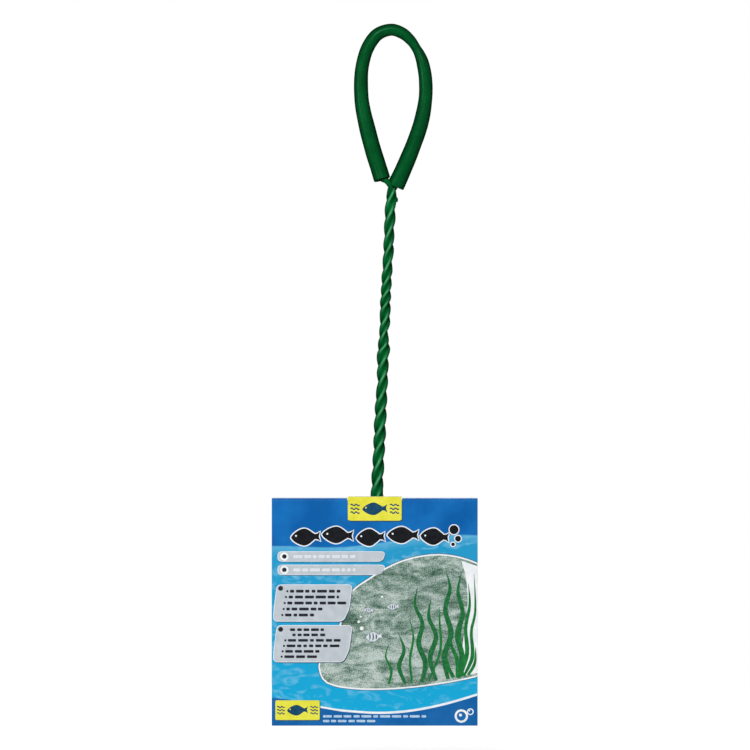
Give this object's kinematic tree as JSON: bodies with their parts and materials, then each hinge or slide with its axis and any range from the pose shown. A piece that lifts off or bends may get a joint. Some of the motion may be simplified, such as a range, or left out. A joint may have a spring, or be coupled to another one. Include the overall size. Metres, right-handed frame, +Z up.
{
  "type": "aquarium net",
  "caption": "Small green aquarium net with a twisted wire stem, a sleeved grip loop and a printed header card folded over the hoop of its mesh bag.",
  "frame": {"origin": "inner top of the grip loop, where a hook carries the net", "axes": "+X to the right seen from the card's front, +Y to the back, +Z up"},
  "size_m": [0.092, 0.0271, 0.314],
  "materials": {
    "steel": "drawn wire",
    "coating": "smooth glossy vinyl",
    "sleeve": "soft glossy vinyl tube",
    "tape": "woven nylon tape",
    "thread": "polyester thread",
    "mesh": "soft nylon netting",
    "card": "printed and varnished board"
  },
  "bodies": {
    "net": {"steel_core": "steel", "hoop_coating": "coating", "left_strand_coating": "coating", "right_strand_coating": "coating", "left_grip_coating": "coating", "right_grip_coating": "coating", "grip_sleeve": "sleeve", "hem_tape": "tape", "hem_stitches": "thread", "bag_back_panel": "mesh", "bag_front_panel": "mesh", "bag_seam": "tape"},
    "card": {"header_card": "card"},
    "left_flap": {"left_ear": "card"},
    "right_flap": {"right_ear": "card"}
  },
  "joints": [
    {"name": "card_slide", "type": "slide", "parent": "net", "child": "card", "axis": [0.0471, 0, 0.9989], "range_m": [0, 0.137]},
    {"name": "left_ear_crease", "type": "hinge", "parent": "card", "child": "left_flap", "pos_m": [-0.0367, 0.00335, -0.20732], "axis": [1, 0, 0], "range_deg": [0, 120]},
    {"name": "right_ear_crease", "type": "hinge", "parent": "card", "child": "right_flap", "pos_m": [0.0211, 0.00335, -0.20732], "axis": [1, 0, 0], "range_deg": [0, 120]}
  ]
}
